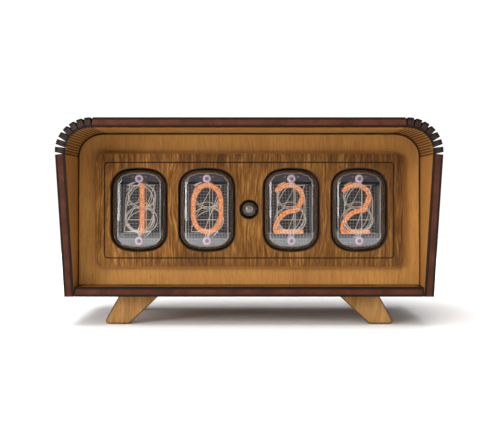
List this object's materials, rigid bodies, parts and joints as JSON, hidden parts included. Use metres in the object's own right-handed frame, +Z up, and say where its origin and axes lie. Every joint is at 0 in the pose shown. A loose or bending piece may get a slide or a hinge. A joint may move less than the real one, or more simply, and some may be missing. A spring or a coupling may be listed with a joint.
{
  "type": "nixie tube clock",
  "caption": "Desk clock with end-view glow tubes and a round neon lamp in a hooded bent-plywood case on splayed feet, with set buttons and power inlet at the rear.",
  "frame": {"origin": "centre of the bounding box in plan, at the level the feet stand on", "axes": "+X to the right seen from the front, the front faces -Y, +Z up"},
  "size_m": [0.137, 0.0888, 0.0758],
  "materials": {
    "plywood_wrap": "stained golden brown, burnt edges",
    "plywood_floor": "stained golden brown, burnt edges",
    "plywood_panel": "stained golden brown",
    "plywood_bezel": "dark streaked grain, burnt edges",
    "plywood_rear": "stained golden brown",
    "plywood_feet": "stained golden brown, burnt edges",
    "plywood_blocks": "bare",
    "screw_steel": "plated",
    "tube_glass": "clear",
    "anode_steel": "fine mesh",
    "cathode_wire": "pale wire on ceramic beads",
    "lit_digit": "wrapped in orange neon glow",
    "tube_base": "pressed glass with pins",
    "socket_plastic": "black",
    "lamp_glass": "clear",
    "lamp_metal": "grey",
    "holder_plastic": "black",
    "board": "green solder mask",
    "header_plastic": "black",
    "nylon": "natural nylon",
    "chip": "moulded",
    "ferrite": "ferrite, wound",
    "capacitor_sleeve": "sleeved",
    "cell_steel": "plain",
    "jack_plastic": "black",
    "switch_plastic": "black",
    "button_plastic": "black"
  },
  "bodies": {
    "case": {"case_wrap": "plywood_wrap", "floor_plate": "plywood_floor", "front_panel": "plywood_panel", "bezel_plate": "plywood_bezel", "rear_panel": "plywood_rear", "foot_front_left": "plywood_feet", "foot_front_right": "plywood_feet", "foot_rear_left": "plywood_feet", "foot_rear_right": "plywood_feet", "corner_block_left": "plywood_blocks", "rear_screw_left": "screw_steel", "corner_block_right": "plywood_blocks", "rear_screw_right": "screw_steel", "tube_1_glass": "tube_glass", "tube_1_anode": "anode_steel", "tube_1_cathodes": "cathode_wire", "tube_1_digit": "lit_digit", "tube_1_base": "tube_base", "tube_1_socket": "socket_plastic", "tube_2_glass": "tube_glass", "tube_2_anode": "anode_steel", "tube_2_cathodes": "cathode_wire", "tube_2_digit": "lit_digit", "tube_2_base": "tube_base", "tube_2_socket": "socket_plastic", "tube_3_glass": "tube_glass", "tube_3_anode": "anode_steel", "tube_3_cathodes": "cathode_wire", "tube_3_digit": "lit_digit", "tube_3_base": "tube_base", "tube_3_socket": "socket_plastic", "tube_4_glass": "tube_glass", "tube_4_anode": "anode_steel", "tube_4_cathodes": "cathode_wire", "tube_4_digit": "lit_digit", "tube_4_base": "tube_base", "tube_4_socket": "socket_plastic", "lamp_glass": "lamp_glass", "lamp_cathode": "lamp_metal", "lamp_holder": "holder_plastic", "display_board": "board", "main_board": "board", "pin_header": "header_plastic", "board_spacer_lower_left": "nylon", "board_spacer_lower_right": "nylon", "board_spacer_upper_left": "nylon", "board_spacer_upper_right": "nylon", "driver_chip_left": "chip", "driver_chip_right": "chip", "microcontroller": "chip", "hv_coil": "ferrite", "hv_capacitor": "capacitor_sleeve", "battery_holder": "holder_plastic", "coin_cell": "cell_steel", "power_jack": "jack_plastic", "switch_one": "switch_plastic", "switch_two": "switch_plastic"},
    "button_one": {"button_one": "button_plastic"},
    "button_two": {"button_two": "button_plastic"}
  },
  "joints": [
    {"name": "button_one_press", "type": "slide", "parent": "case", "child": "button_one", "axis": [0, -1, 0], "range_m": [0, 0.001], "stiffness_N_per_m": 400, "springref_m": -0.0005},
    {"name": "button_two_press", "type": "slide", "parent": "case", "child": "button_two", "axis": [0, -1, 0], "range_m": [0, 0.001], "stiffness_N_per_m": 400, "springref_m": -0.0005}
  ]
}
